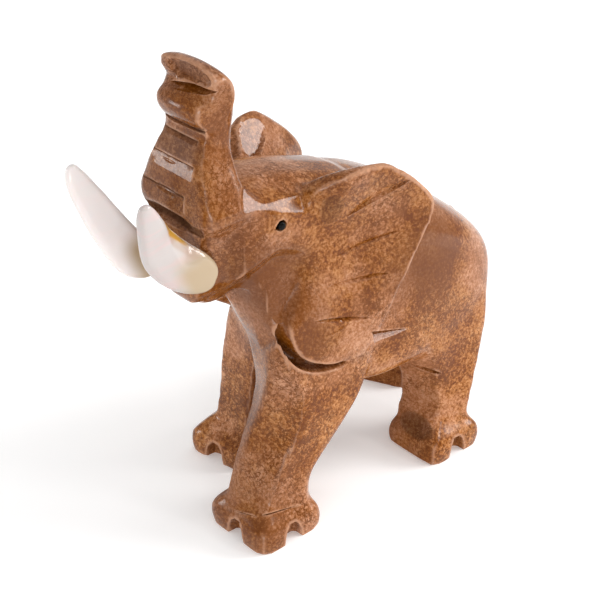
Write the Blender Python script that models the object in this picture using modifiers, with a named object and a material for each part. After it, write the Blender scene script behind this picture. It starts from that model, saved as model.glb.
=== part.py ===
"""Hand-carved marble elephant with its trunk raised, about 11 cm tall, standing on four notched feet.

One block of marble is the whole animal. Two tusks of pearl shell are glued into shallow seats on the snout,
and two black eyes are set in drilled holes. The elephant faces -Y, its left side is +X, and the floor is z = 0.
Lengths are metres. The free carving is drawn to its own scale, DRAWN_HEIGHT units high, and SHARE brings a
drawn unit to metres.
"""

import math

import bmesh
import bpy
from mathutils import Matrix, Vector

# Driving dimensions, in metres
HEIGHT = 0.110             # floor to the rim of the raised trunk
SEAT_GAP = 0.0003          # glue line round everything that is set in the marble
TUSK_THICKNESS = 0.0030    # across the shell, side to side
TUSK_SEAT_DEPTH = 0.0012   # how far the root of a tusk sinks into the side of the snout
SNOUT_HALF_WIDTH = 0.0086  # at the roots of the tusks
EYE_DIAMETER = 0.0018
EYE_HOLE_DEPTH = 0.0022
EYE_PROUD = 0.0004         # the polished top of an eye above the cheek
TRIANGLES_KEPT = 0.078     # share of the dense surface's triangles that the body keeps
GRAIN = 0.0009             # size of the cells that weld the rough blocks into one skin

DRAWN_HEIGHT = 109.1       # the same height in the units of the tables below
SHARE = HEIGHT / DRAWN_HEIGHT


def smooth_rows(table, steps):
    """Rows of numbers with steps - 1 more between each two, on a Catmull-Rom curve."""
    rows = []
    for i in range(len(table) - 1):
        before = table[max(i - 1, 0)]
        here, there = table[i], table[i + 1]
        after = table[min(i + 2, len(table) - 1)]
        for k in range(steps):
            t = k / steps
            rows.append([
                0.5 * (2 * b + (c - a) * t + (2 * a - 5 * b + 4 * c - d) * t * t + (3 * b - a - 3 * c + d) * t ** 3)
                for a, b, c, d in zip(before, here, there, after)
            ])
    rows.append(list(table[-1]))
    return rows


def loft(bm, rings):
    """A closed block through rings of equally many points, in drawn units, with flat ends."""
    rows = [[bm.verts.new(Vector(point) * SHARE) for point in ring] for ring in rings]
    count = len(rows[0])
    faces = [bm.faces.new(rows[0]), bm.faces.new(rows[-1])]
    for low, high in zip(rows, rows[1:]):
        for i in range(count):
            j = (i + 1) % count
            faces.append(bm.faces.new((low[i], low[j], high[j], high[i])))
    bmesh.ops.recalc_face_normals(bm, faces=faces)


def oval(half_x, half_y, power, count=32):
    """Points of a rounded box in the plane, from an ellipse at power 2 to nearly square at 8."""
    points = []
    for i in range(count):
        c, s = math.cos(2 * math.pi * i / count), math.sin(2 * math.pi * i / count)
        points.append((
            half_x * math.copysign(abs(c) ** (2 / power), c),
            half_y * math.copysign(abs(s) ** (2 / power), s),
        ))
    return points


def mirrored(half):
    """A half outline from the top middle to the bottom middle, closed by its mirror image."""
    return half + [(-x, z) for x, z in reversed(half[1:-1])]


# The animal's rough blocks, which are welded into one skin afterwards

TORSO = [  # y, lowest z, widest z, highest z, half width
    (-13, 44, 54, 67, 7),
    (-7, 35, 53, 76, 12),
    (0, 28.6, 50, 77.8, 14.6),
    (8, 26.2, 48, 75.6, 16.6),
    (16, 26, 46, 72.8, 17.7),
    (24, 26.6, 44, 68.8, 18.0),
    (32, 28, 42, 63.6, 17.7),
    (40, 29.5, 40, 57.6, 16.9),
    (46, 32, 40, 52.2, 14.6),
    (49.8, 36, 41, 46.8, 8.8),
]


def torso(bm):
    """Barrel and rump: a sloping back over flat flanks."""
    rings = []
    for y, low, wide, high, half in smooth_rows(TORSO, 3):
        ring = []
        for (back_x, back_z), (belly_x, belly_z) in zip(oval(half, 1.0, 2.8), oval(half, 1.0, 6.0)):
            if back_z > 0:
                ring.append((back_x, y, wide + back_z * (high - wide)))
            else:
                ring.append((belly_x, y, wide + belly_z * (wide - low)))
        rings.append(ring)
    loft(bm, rings)


HEAD = [  # y, then x and z of: crown, crown edge, brow, under the brow, cheek edge, throat
    (-25, 0, 83.0, 4.5, 82.4, 9.4, 80.4, 10.7, 78.6, 10.6, 65.0, 7.0, 61.5),
    (-21, 0, 83.0, 4.8, 82.6, 10.4, 80.3, 11.9, 78.2, 11.8, 67.0, 8.0, 63.5),
    (-16, 0, 82.6, 5.0, 82.3, 11.0, 79.2, 12.6, 77.0, 12.5, 69.0, 9.3, 65.5),
    (-8, 0, 81.2, 5.3, 80.8, 11.4, 77.2, 13.0, 74.8, 13.0, 66.0, 10.5, 62.0),
    (0, 0, 78.9, 5.6, 78.4, 11.9, 75.2, 13.4, 72.9, 13.4, 62.0, 11.5, 58.0),
    (9, 0, 75.8, 6.0, 75.2, 12.4, 72.4, 13.9, 69.9, 14.4, 58.0, 13.0, 54.0),
]


def head(bm):
    """Flat crown, a slanting plane down to the brow, and an upright cheek over an undercut throat."""
    rings = []
    for row in smooth_rows(HEAD, 3):
        half = list(zip(row[1::2], row[2::2]))
        half.append((0.0, half[-1][1]))
        rings.append([(x, row[0], z) for x, z in mirrored(half)])
    loft(bm, rings)


NECK = [  # z, front y, x and y of the left and of the right front corner, x and y of the side, back y
    (30, -8.5, 5.0, -8.5, 5.0, -6.0, 11.0, -2.0, 12.0),
    (37, -12.6, 8.5, -15.6, 5.5, -9.8, 12.6, -7.0, 12.0),
    (45, -16.4, 11.2, -18.6, 6.5, -13.0, 13.0, -9.5, 12.0),
    (54, -20.7, 11.2, -18.6, 7.6, -16.2, 12.6, -9.0, 12.0),
    (60, -24.4, 10.6, -19.6, 8.0, -21.0, 11.6, -9.0, 12.0),
    (68, -27.0, 8.8, -24.0, 8.5, -24.0, 11.0, -10.0, 12.0),
]


def neck(bm):
    """The chest and throat, a wedge that leans forward as it rises and turns back on the right, with the leg."""
    rings = []
    for z, front, left_x, left_y, right_x, right_y, side_x, side_y, back in smooth_rows(NECK, 3):
        ring = [(0.0, front), (left_x / 2, (front + left_y) / 2), (left_x, left_y), (side_x, side_y)]
        ring += [(side_x, back), (-side_x, back), (-side_x, side_y), (-right_x, right_y)]
        ring.append((-right_x / 2, (front + right_y) / 2))
        rings.append([(x, y, z) for x, y in ring])
    loft(bm, rings)


TRUNK = [  # z, half width, front y, back y
    (58.4, 4.2, -32.6, -20.0),
    (60.0, 5.2, -33.2, -18.0),
    (62.0, 6.8, -33.8, -16.0),
    (66.0, 8.1, -33.8, -16.0),
    (72.0, 8.6, -33.4, -16.0),
    (76.0, 9.8, -33.4, -17.0),
    (78.4, 11.8, -33.8, -18.0),
    (80.0, 12.2, -33.8, -19.5),
    (83.4, 10.7, -33.5, -22.4),
    (89.5, 8.1, -32.5, -23.4),
    (94.0, 6.7, -30.3, -22.9),
    (98.0, 7.1, -29.6, -22.6),
    (103.0, 7.7, -29.0, -22.7),
]


def trunk(bm):
    """The upright of the trunk, square in section, widening down to the snout."""
    rings = []
    for z, half, front, back in smooth_rows(TRUNK, 3):
        middle = (front + back) / 2
        rings.append([(x, middle + y, z) for x, y in oval(half, (back - front) / 2, 7.0)])
    loft(bm, rings)


# The curled tip: y and z of its outline in the middle plane, y and z at the sides, and half the width there
CURL = [
    (-23.0, 100.0, -23.8, 100.0, 8.0),
    (-22.8, 103.4, -23.5, 103.6, 8.5),
    (-23.8, 106.8, -24.2, 105.4, 8.6),
    (-25.8, 108.7, -25.6, 106.8, 8.6),
    (-28.2, 109.4, -28.3, 107.3, 8.6),
    (-29.2, 108.4, -28.8, 106.8, 8.7),
    (-29.2, 105.2, -28.8, 106.0, 8.5),
    (-28.2, 104.0, -27.8, 104.9, 8.1),
    (-26.6, 103.5, -26.2, 104.0, 7.6),
    (-29.6, 103.4, -28.4, 102.8, 7.3),
    (-31.6, 102.4, -30.4, 101.8, 7.0),
    (-32.5, 100.4, -31.4, 100.2, 6.8),
    (-31.8, 98.0, -30.8, 98.2, 6.5),
    (-30.0, 96.6, -29.4, 96.8, 6.6),
    (-26.6, 97.6, -26.6, 97.6, 7.2),
]


def curl(bm):
    """The trunk's tip, curled forward in two lobes: the roll, and above it the oval end with its hollow."""
    rings = []
    for across in (-1.0, -0.96, -0.85, -0.6, -0.3, 0.0, 0.3, 0.6, 0.85, 0.96, 1.0):
        side = 1.0 - math.sqrt(1.0 - across ** 2)
        rings.append([
            (across * half, y + (side_y - y) * side, z + (side_z - z) * side)
            for y, z, side_y, side_z, half in CURL
        ])
    loft(bm, rings)


def lower_lip(bm):
    """The small pointed lip under the tusks."""
    rows = [(56.6, 3.0, -29.4, -21.0), (58.2, 4.8, -30.4, -17.0), (62.0, 6.0, -30.6, -14.0)]
    rings = []
    for z, half, front, back in rows:
        middle = (front + back) / 2
        rings.append([(x, middle + y, z) for x, y in oval(half, (back - front) / 2, 4.0)])
    loft(bm, rings)


# Legs: each row is a height and then the corners of the leg in plan, front inside corner first
LEFT_FORE = [
    (3, 5.5, -25.5, 9.0, -26.0, 15.8, -23.8, 17.8, -15.0, 15.0, -12.5, 6.0, -13.0),
    (7, 4.9, -26.6, 8.6, -27.0, 16.2, -24.4, 18.6, -14.8, 15.0, -11.0, 5.0, -12.0),
    (13, 4.9, -25.0, 8.2, -25.4, 16.4, -22.4, 17.4, -12.8, 14.0, -8.6, 5.0, -8.4),
    (19, 4.8, -22.8, 8.2, -23.8, 16.8, -19.4, 17.4, -6.8, 13.0, -3.0, 5.0, -4.0),
    (26, 3.9, -18.6, 8.8, -21.2, 17.4, -15.6, 17.6, 0.4, 12.0, 4.0, 3.0, 0.0),
    (33, 2.2, -15.2, 10.0, -19.4, 17.2, -14.2, 17.4, 4.5, 11.0, 8.0, 0.0, 2.0),
    (39, 1.0, -15.4, 11.0, -18.8, 16.2, -15.8, 17.0, 5.5, 10.5, 8.0, -0.5, 2.0),
    (44, 0.0, -15.4, 11.4, -18.7, 14.9, -17.4, 16.2, 6.0, 10.0, 8.0, -1.0, 2.0),
    (52, 0.0, -15.0, 11.2, -18.4, 13.2, -17.2, 14.5, 6.0, 10.0, 8.0, -1.0, 2.0),
]
RIGHT_FORE = [
    (3, -8.0, -11.4, -17.0, -12.0, -20.0, -7.0, -19.8, -1.0, -15.0, 0.4, -8.0, 0.4),
    (8, -7.5, -10.4, -18.2, -10.6, -20.3, -5.0, -19.4, -0.2, -14.0, 1.0, -6.5, 0.6),
    (18, -7.0, -9.6, -17.7, -9.4, -19.5, -3.0, -18.6, 2.4, -13.0, 4.0, -6.0, 2.0),
    (30, -5.0, -9.4, -16.9, -8.8, -18.3, -1.0, -17.8, 6.0, -12.0, 8.0, -4.0, 4.0),
    (40, -3.0, -11.0, -15.0, -8.0, -16.8, 0.0, -16.8, 7.0, -11.0, 8.0, -3.0, 4.0),
    (47, -2.0, -12.0, -12.0, -7.0, -14.5, 0.0, -15.0, 7.0, -11.0, 8.0, -3.0, 4.0),
]
LEFT_HIND = [
    (3, 8.2, 24.6, 12.0, 25.0, 18.6, 27.4, 19.8, 35.0, 17.0, 36.8, 8.4, 36.4),
    (8, 7.8, 23.8, 12.5, 24.6, 18.4, 27.6, 20.0, 35.4, 17.0, 38.0, 8.0, 37.4),
    (16, 8.6, 23.8, 13.0, 25.6, 17.4, 28.4, 19.0, 38.2, 15.5, 41.2, 7.0, 40.0),
    (24, 9.8, 21.0, 13.8, 23.4, 17.4, 27.0, 17.9, 41.2, 14.5, 44.8, 5.0, 42.0),
    (32, 10.0, 18.0, 14.0, 20.5, 17.8, 24.0, 17.0, 43.4, 13.5, 46.8, 4.0, 43.0),
    (40, 9.0, 18.0, 13.0, 20.5, 16.3, 24.0, 16.0, 43.4, 12.5, 46.8, 4.0, 43.0),
]
RIGHT_HIND = [
    (3, -10.6, 38.6, -15.0, 38.6, -22.0, 40.6, -22.8, 48.6, -19.5, 50.4, -11.4, 50.0),
    (8, -10.0, 38.2, -15.2, 38.2, -21.8, 40.6, -22.6, 48.8, -19.0, 51.2, -10.8, 50.6),
    (16, -9.2, 36.0, -14.0, 36.4, -20.4, 39.4, -21.2, 47.6, -17.5, 50.2, -9.2, 49.2),
    (24, -7.8, 30.6, -13.4, 31.2, -18.6, 33.6, -19.3, 45.0, -15.5, 48.2, -7.0, 47.0),
    (32, -6.0, 24.0, -13.0, 24.0, -17.8, 27.0, -17.6, 43.6, -13.5, 47.0, -5.0, 45.0),
    (40, -6.0, 22.0, -12.0, 22.0, -16.3, 25.0, -16.2, 43.4, -12.5, 46.8, -4.0, 43.0),
]


def leg(bm, table):
    rings = []
    for row in smooth_rows(table, 3):
        rings.append([(x, y, row[0]) for x, y in zip(row[1::2], row[2::2])])
    loft(bm, rings)


# Feet: a square pad each, as middle x and y, half the size in x and y, the turn in degrees, and the directions
# in degrees from the front in which a toe notch is cut
PADS = [
    (10.45, -19.6, 9.6, 9.1, 0.0, (0, 90, 180, 270)),
    (-15.6, -5.9, 8.4, 8.6, 9.0, (0, 90, 180, 270)),
    (14.3, 30.2, 8.1, 8.4, 0.0, (90, 180, 270)),
    (-15.7, 44.5, 8.3, 8.3, 25.0, (90, 180, 270)),
]
PAD_RINGS = [  # z, and how far in from the pad's outline: upright toes, and a slope up to the leg
    (-2.0, 0.5),
    (0.6, 0.2),
    (2.5, 0.0),
    (5.0, 0.2),
    (6.0, 1.0),
    (9.0, 3.6),
]


def pad(bm, x, y, half_x, half_y, turn):
    rings = []
    c, s = math.cos(math.radians(turn)), math.sin(math.radians(turn))
    for z, inset in PAD_RINGS:
        corners = oval(half_x - inset, half_y - inset, 9.0)
        rings.append([(x + c * across - s * along, y + s * across + c * along, z) for across, along in corners])
    loft(bm, rings)


EAR = [  # z, then x and y of: valley behind the cheek, front edge, middle and rim of the outer face, and thickness
    (37.9, 16.8, -3.6, 16.9, -3.2, 17.2, -1.0, 17.4, 1.4, 1.6),
    (39.4, 16.6, -8.2, 16.9, -7.8, 17.6, -2.0, 18.0, 5.2, 2.8),
    (42.0, 16.2, -12.2, 16.6, -11.8, 17.6, -3.0, 18.4, 7.0, 3.6),
    (45.0, 15.8, -15.6, 16.2, -15.0, 17.4, -3.4, 18.8, 8.4, 3.8),
    (50.0, 15.1, -16.8, 15.6, -16.2, 16.6, -2.5, 19.3, 11.2, 4.2),
    (57.0, 12.8, -12.6, 13.6, -11.0, 15.2, 0.5, 19.9, 14.8, 4.2),
    (64.0, 12.2, -9.0, 13.2, -6.0, 15.0, 4.5, 20.6, 18.6, 4.2),
    (70.0, 12.4, -9.0, 14.0, -4.4, 15.8, 5.0, 21.2, 20.2, 4.0),
    (75.0, 12.4, -9.0, 15.6, -4.2, 17.0, 4.6, 21.4, 17.0, 3.8),
    (79.6, 13.6, -8.0, 17.2, -4.0, 18.4, 4.0, 21.2, 11.8, 3.4),
    (82.4, 17.0, -3.8, 18.6, -1.6, 19.4, 2.6, 20.4, 8.0, 2.6),
    (83.8, 19.0, 0.6, 19.4, 1.4, 19.7, 3.2, 20.0, 5.4, 1.4),
]
EAR_TOP = 83.8
EAR_FIT = {  # the two ears, carved by eye, don't quite match: shift in y and z, shares of the width and height
    1: (0.0, 0.0, 1.0, 1.0),
    -1: (-1.6, -0.6, 0.95, 0.94),
}


def ear_point(side, x, y, z):
    shift_y, shift_z, width, height = EAR_FIT[side]
    return side * x, y * width + shift_y, EAR_TOP + (z - EAR_TOP) * height + shift_z


def ear(bm, side):
    """A thin slab that hangs from the side of the head and flares out to a free rim."""
    rings = []
    for z, x0, y0, x1, y1, x2, y2, x3, y3, thick in smooth_rows(EAR, 3):
        outer = [(x0, y0), (x1, y1), (x2, y2), (x3, y3)]
        inner = [(x3 - thick, y3 - 0.3 * thick), (x2 - 1.3 * thick, y2), (x0 - 1.3 * thick, y0 + 0.3 * thick)]
        rings.append([ear_point(side, x, y, z) for x, y in outer + inner])
    loft(bm, rings)


TAIL = [  # z, middle y, half width, half depth
    (33, 47.0, 1.0, 1.2),
    (35.5, 48.7, 2.1, 1.9),
    (40, 49.9, 1.5, 1.8),
    (45, 49.5, 1.8, 2.0),
    (49, 47.9, 2.3, 2.3),
    (52.5, 45.4, 2.5, 2.3),
]


def tail(bm):
    """A short tail in low relief down the middle of the rump."""
    rings = []
    for z, middle, half_x, half_y in smooth_rows(TAIL, 3):
        rings.append([(x, middle + y, z) for x, y in oval(half_x, half_y, 2.0, 12)])
    loft(bm, rings)


# Cutters: what the saw, the grinding disc and the drill take away

def cutter_object(name, bm):
    mesh = bpy.data.meshes.new(name)
    bm.to_mesh(mesh)
    bm.free()
    cutter = bpy.data.objects.new(name, mesh)
    cutters.objects.link(cutter)
    cutter.display_type = "WIRE"
    cutter.hide_render = True
    return cutter


FLOOR_WIDTH = 200.0   # the block under the feet that grinds them level
FLOOR_DEPTH = 10.0


def floor_cutter():
    bm = bmesh.new()
    size = Matrix.Diagonal((FLOOR_WIDTH * SHARE, FLOOR_WIDTH * SHARE, FLOOR_DEPTH * SHARE, 1.0))
    place = Matrix.Translation((0, 0, -FLOOR_DEPTH * SHARE / 2))
    bmesh.ops.create_cube(bm, size=1.0, matrix=place @ size)
    return cutter_object("floor", bm)


NOTCH_HALF_WIDTH = 2.3   # the round-ended notches between the toes
NOTCH_HEIGHT = 4.8
NOTCH_DEPTH = 2.8
NOTCH_REACH = 3.0        # the cutter starts this far outside the pad


def toe_notch_cutters():
    """Arched notches in the sides of the feet, which leave a toe at each corner."""
    bm = bmesh.new()
    for x, y, half_x, half_y, turn, directions in PADS:
        for direction in directions:
            angle = math.radians(direction - 90 + turn)
            out_x, out_y = math.cos(angle), math.sin(angle)
            edge = half_y if direction % 180 == 0 else half_x
            rings = []
            for along in (edge + NOTCH_REACH, edge - NOTCH_DEPTH):
                rings.append([
                    (x + out_x * along - out_y * across, y + out_y * along + out_x * across, z)
                    for across, z in oval(NOTCH_HALF_WIDTH, NOTCH_HEIGHT, 2.6, 16)
                ])
            loft(bm, rings)
    return cutter_object("toe_notches", bm)


DISC_EDGE = 0.86   # where the bevel of a disc starts, as a share of its radius


def disc(bm, start, end, outward, radius, half_width):
    """A thin double-bevelled grinding disc whose edge enters at start and leaves at end."""
    start, end, outward = Vector(start), Vector(end), Vector(outward).normalized()
    chord = end - start
    rise = math.sqrt(radius ** 2 - (chord.length / 2) ** 2)
    centre = (start + end) / 2 + outward * rise
    along = chord.normalized()
    axis = along.cross(outward).normalized()
    rings = []
    edge = radius * DISC_EDGE
    for offset, reach in ((-half_width, edge), (0.0, radius), (half_width, edge)):
        rings.append([centre + axis * offset + along * x - outward * y for x, y in oval(reach, reach, 2.0, 40)])
    loft(bm, rings)


EAR_GROOVES = [  # start y and z, end y and z on the outer face of the ear
    (-1.0, 73.2, 12.0, 77.8),
    (-2.4, 63.3, 11.2, 65.2),
    (-5.2, 56.8, 9.0, 56.2),
    (-10.0, 50.8, 4.4, 46.9),
]
EAR_DISC_RADIUS = 26.0
EAR_DISC_HALF_WIDTH = 2.8
EAR_DISC_WAY = (1.0, -0.25, 0.0)   # from the groove to the disc's middle, on the left ear


def ear_face_x(y, z):
    """How far out the outer face of the ear lies at y and z."""
    row = min(smooth_rows(EAR, 3), key=lambda r: abs(r[0] - z))
    points = [(row[4], row[3]), (row[6], row[5]), (row[8], row[7])]
    for (ya, xa), (yb, xb) in zip(points, points[1:]):
        if y <= yb:
            return xa + (xb - xa) * (y - ya) / (yb - ya)
    return points[-1][1]


def ear_groove_cutters():
    bm = bmesh.new()
    for side in (1, -1):
        for y0, z0, y1, z1 in EAR_GROOVES:
            start = ear_point(side, ear_face_x(y0, z0), y0, z0)
            end = ear_point(side, ear_face_x(y1, z1), y1, z1)
            out_x, out_y, out_z = EAR_DISC_WAY
            disc(bm, start, end, (side * out_x, out_y, out_z), EAR_DISC_RADIUS, EAR_DISC_HALF_WIDTH)
    return cutter_object("ear_grooves", bm)


EAR_SLOT = [  # y and z on the outline of the ear, width of the slot outside it, x of its bottom
    (-15.9, 52.6, 0.6, 13.6),
    (-16.3, 51.0, 1.2, 11.6),
    (-16.2, 48.2, 1.5, 11.0),
    (-15.0, 45.0, 1.8, 11.0),
    (-12.6, 42.3, 2.1, 11.6),
    (-9.0, 40.1, 1.9, 12.8),
    (-4.6, 38.6, 1.3, 13.8),
    (0.0, 38.2, 0.9, 14.8),
    (4.4, 39.0, 0.5, 16.2),
]
EAR_SLOT_LAP = 0.3   # the cutter bites this far into the ear's edge
EAR_SLOT_OUTSIDE = 24.0   # x of the cutter's outer end, clear of the ear


def ear_slot_cutters():
    """The deep slot that frees the bottom lobe of each ear from the shoulder."""
    bm = bmesh.new()
    rows = smooth_rows(EAR_SLOT, 3)
    for side in (1, -1):
        rings = []
        for i, (y, z, wide, bottom) in enumerate(rows):
            before, after = rows[max(i - 1, 0)], rows[min(i + 1, len(rows) - 1)]
            along = Vector((after[0] - before[0], after[1] - before[1])).normalized()
            corners = [
                (EAR_SLOT_OUTSIDE, -EAR_SLOT_LAP), (EAR_SLOT_OUTSIDE, wide + EAR_SLOT_LAP),
                (bottom, wide * 0.9), (bottom, 0.0),
            ]
            rings.append([ear_point(side, x, y + along.y * reach, z - along.x * reach) for x, reach in corners])
        loft(bm, rings)
    return cutter_object("ear_slots", bm)


TRUNK_GROOVES = [  # z of the groove, y of its bottom, half its opening
    (94.6, -29.2, 0.7),
    (88.6, -31.1, 0.8),
    (82.4, -32.0, 1.1),
    (77.0, -31.0, 1.5),
]
TRUNK_DISC_RADIUS = 20.0
TRUNK_DISC_BEVEL = 1.7
TRUNK_DISC_X = -2.0


def trunk_groove_cutters():
    """Rings cut across the front of the trunk with the edge of a disc, a little deeper on the right."""
    bm = bmesh.new()
    for z, bottom, half in TRUNK_GROOVES:
        centre = Vector((TRUNK_DISC_X, bottom - TRUNK_DISC_RADIUS, z))
        rings = []
        for offset, inset in ((-half, TRUNK_DISC_BEVEL), (0.0, 0.0), (half, TRUNK_DISC_BEVEL)):
            reach = TRUNK_DISC_RADIUS - inset
            rings.append([centre + Vector((x, y, offset)) for x, y in oval(reach, reach, 2.0, 40)])
        loft(bm, rings)
    return cutter_object("trunk_grooves", bm)


END_HOLLOW = (0.0, -30.1, 106.9)        # middle of the ball that hollows the end of the trunk
END_HOLLOW_HALF = (7.4, 1.7, 1.75)


def end_hollow_cutter():
    """The shallow oval hollow in the end of the trunk."""
    bm = bmesh.new()
    size = Matrix.Diagonal((*(Vector(END_HOLLOW_HALF) * SHARE), 1.0))
    place = Matrix.Translation(Vector(END_HOLLOW) * SHARE)
    bmesh.ops.create_uvsphere(bm, u_segments=20, v_segments=10, radius=1.0, matrix=place @ size)
    return cutter_object("end_hollow", bm)


# Tusks

TUSKS = {  # outward from the root, y and z of the middle, half the width of the blade, share of the thickness
    1: [
        (0.0, -31.0, 66.4, 1.8, 0.8),
        (0.0, -32.0, 67.0, 3.1, 0.95),
        (0.0, -34.2, 68.5, 4.2, 1.0),
        (-0.2, -37.2, 70.6, 4.75, 1.0),
        (-0.6, -40.2, 73.2, 4.85, 1.0),
        (-0.9, -42.5, 76.2, 4.6, 1.0),
        (0.0, -44.4, 79.3, 3.9, 1.0),
        (1.1, -45.8, 82.2, 3.3, 1.0),
        (1.9, -47.0, 84.9, 2.65, 0.95),
        (2.5, -48.0, 87.5, 1.95, 0.8),
        (2.8, -48.5, 89.4, 0.9, 0.5),
    ],
    -1: [
        (0.0, -30.2, 63.4, 2.3, 0.8),
        (0.0, -31.2, 64.2, 3.9, 0.95),
        (0.0, -33.4, 65.1, 4.9, 1.0),
        (-0.2, -36.4, 66.5, 5.0, 1.0),
        (-0.6, -39.3, 69.2, 4.6, 1.0),
        (-0.9, -41.9, 73.1, 4.2, 1.0),
        (0.0, -44.0, 77.2, 3.8, 1.0),
        (1.1, -45.5, 80.8, 3.3, 1.0),
        (1.9, -46.9, 83.9, 2.8, 0.95),
        (2.5, -48.0, 86.9, 2.1, 0.8),
        (2.8, -48.5, 89.2, 0.9, 0.5),
    ],
}
TUSK_STEPS = 2


def tusk_body(bm, side, grow):
    """The blade of one tusk, grown all round for its seat: flat sides, turned up at the elbow."""
    root_x = (SNOUT_HALF_WIDTH + TUSK_THICKNESS / 2 - TUSK_SEAT_DEPTH) / SHARE
    rows = smooth_rows(TUSKS[side], TUSK_STEPS)
    rings = []
    for i, (spread, y, z, half, thick) in enumerate(rows):
        before, after = rows[max(i - 1, 0)], rows[min(i + 1, len(rows) - 1)]
        along = Vector((0.0, after[1] - before[1], after[2] - before[2])).normalized()
        edge = Vector((0.0, -along.z, along.y))
        half_thick = thick * TUSK_THICKNESS / SHARE / 2
        middle = Vector((root_x + spread, y, z))
        if i == 0:
            middle -= along * grow / SHARE
        ring = []
        for across, wide in oval(half_thick + grow / SHARE, half + grow / SHARE, 3.4, 12):
            point = middle + Vector((across, 0.0, 0.0)) + edge * wide
            ring.append((side * point.x, point.y, point.z))
        rings.append(ring)
    loft(bm, rings)


EYE_PLACE = (12.6, -16.1, 74.2)   # the left eye's middle on the cheek
EYE_WAY = (1.0, -0.12, 0.02)      # the way it looks
EYE_DOME = [(0.0, 1.0), (0.6, 0.86), (1.0, 0.5)]   # shares of the height above the cheek and of the radius
EYE_DRILL_START = 0.004           # the drill starts this far outside the cheek, in metres


def eye_place(side):
    """Middle of an eye on the cheek, and the way it looks."""
    (x, y, z), (way_x, way_y, way_z) = EYE_PLACE, EYE_WAY
    return Vector((side * x, y, z)) * SHARE, Vector((side * way_x, way_y, way_z)).normalized()


def eye_cylinder(bm, side, radius, bottom, top, round_top):
    """A peg along the eye's axis from bottom to top, measured from the cheek."""
    place, axis = eye_place(side)
    turn = axis.to_track_quat("Z", "Y").to_matrix().to_4x4()
    rings = []
    levels = [(bottom, 1.0), (top, 1.0)]
    if round_top:
        levels = [(bottom, 1.0)] + [(top * rise, reach) for rise, reach in EYE_DOME]
    for level, reach in levels:
        ring = []
        for x, y in oval(radius * reach, radius * reach, 2.0, 14):
            ring.append((Matrix.Translation(place) @ turn @ Vector((x, y, level))) / SHARE)
        rings.append(ring)
    loft(bm, rings)


# Materials and objects

def material(name, colour, roughness):
    made = bpy.data.materials.new(name)
    made.use_nodes = True
    shader = made.node_tree.nodes["Principled BSDF"]
    shader.inputs["Base Color"].default_value = (*colour, 1.0)
    shader.inputs["Roughness"].default_value = roughness
    return made


def piece(name, bm, surface, smooth=False):
    mesh = bpy.data.meshes.new(name)
    for face in bm.faces:
        face.smooth = smooth
    bm.to_mesh(mesh)
    bm.free()
    mesh.materials.append(surface)
    made = bpy.data.objects.new(name, mesh)
    figure.objects.link(made)
    return made


def cut(target, cutter):
    boolean = target.modifiers.new(cutter.name, "BOOLEAN")
    boolean.operation = "DIFFERENCE"
    boolean.solver = "EXACT"
    boolean.object = cutter


for old in list(bpy.data.objects):
    bpy.data.objects.remove(old, do_unlink=True)
figure = bpy.data.collections.new("marble_elephant_figurine")
cutters = bpy.data.collections.new("cutters")
bpy.context.scene.collection.children.link(figure)
bpy.context.scene.collection.children.link(cutters)

marble = material("brown_marble", (0.46, 0.22, 0.12), 0.25)
shell = material("pearl_shell", (0.86, 0.83, 0.78), 0.2)
jet = material("black_inlay", (0.01, 0.01, 0.01), 0.1)

blocks = bmesh.new()
torso(blocks)
head(blocks)
neck(blocks)
trunk(blocks)
curl(blocks)
lower_lip(blocks)
for table in (LEFT_FORE, RIGHT_FORE, LEFT_HIND, RIGHT_HIND):
    leg(blocks, table)
for *plan, _ in PADS:
    pad(blocks, *plan)
for side in (1, -1):
    ear(blocks, side)
tail(blocks)
body = piece("marble_elephant", blocks, marble)

weld = body.modifiers.new("weld", "REMESH")
weld.mode = "VOXEL"
weld.voxel_size = GRAIN
soften = body.modifiers.new("soften", "SMOOTH")
soften.factor = 0.5
soften.iterations = 2
thin = body.modifiers.new("thin", "DECIMATE")
thin.ratio = TRIANGLES_KEPT

cut(body, floor_cutter())
cut(body, toe_notch_cutters())
cut(body, ear_slot_cutters())
cut(body, ear_groove_cutters())
cut(body, trunk_groove_cutters())
cut(body, end_hollow_cutter())

seats = bmesh.new()
holes = bmesh.new()
for side in (1, -1):
    tusk_body(seats, side, SEAT_GAP)
    eye_cylinder(holes, side, EYE_DIAMETER / 2 + SEAT_GAP, -EYE_HOLE_DEPTH, EYE_DRILL_START, False)
cut(body, cutter_object("tusk_seats", seats))
cut(body, cutter_object("eye_holes", holes))

for side, name in ((1, "left"), (-1, "right")):
    blade = bmesh.new()
    tusk_body(blade, side, 0.0)
    piece(f"{name}_tusk", blade, shell, smooth=True)
    peg = bmesh.new()
    eye_cylinder(peg, side, EYE_DIAMETER / 2, SEAT_GAP - EYE_HOLE_DEPTH, EYE_PROUD, True)
    piece(f"{name}_eye", peg, jet, smooth=True)


def centre_over_origin():
    """Moves everything so that the middle of the figure's box stands over the origin."""
    ready = bpy.context.evaluated_depsgraph_get()
    corners = [
        shown.matrix_world @ Vector(corner)
        for shown in (made.evaluated_get(ready) for made in figure.objects)
        for corner in shown.bound_box
    ]
    shift = Vector((0.0, 0.0, 0.0))
    for axis in (0, 1):
        values = [corner[axis] for corner in corners]
        shift[axis] = -(min(values) + max(values)) / 2
    for made in [*figure.objects, *cutters.objects]:
        made.location += shift
    return shift


ORIGIN_SHIFT = centre_over_origin()
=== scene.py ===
"""Carved marble elephant with its trunk raised, pearl-shell tusks and black inlaid eyes.

It stands on a pale studio floor and faces -Y, with its left side to +X. The scene and the studio's sizes are
in metres. The places and sizes of the carving and of the patterns are in millimetres, and MM turns them into
metres.
"""

import math

import bmesh
import bpy
import numpy as np
from mathutils import Matrix, Vector
from mathutils.bvhtree import BVHTree


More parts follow.
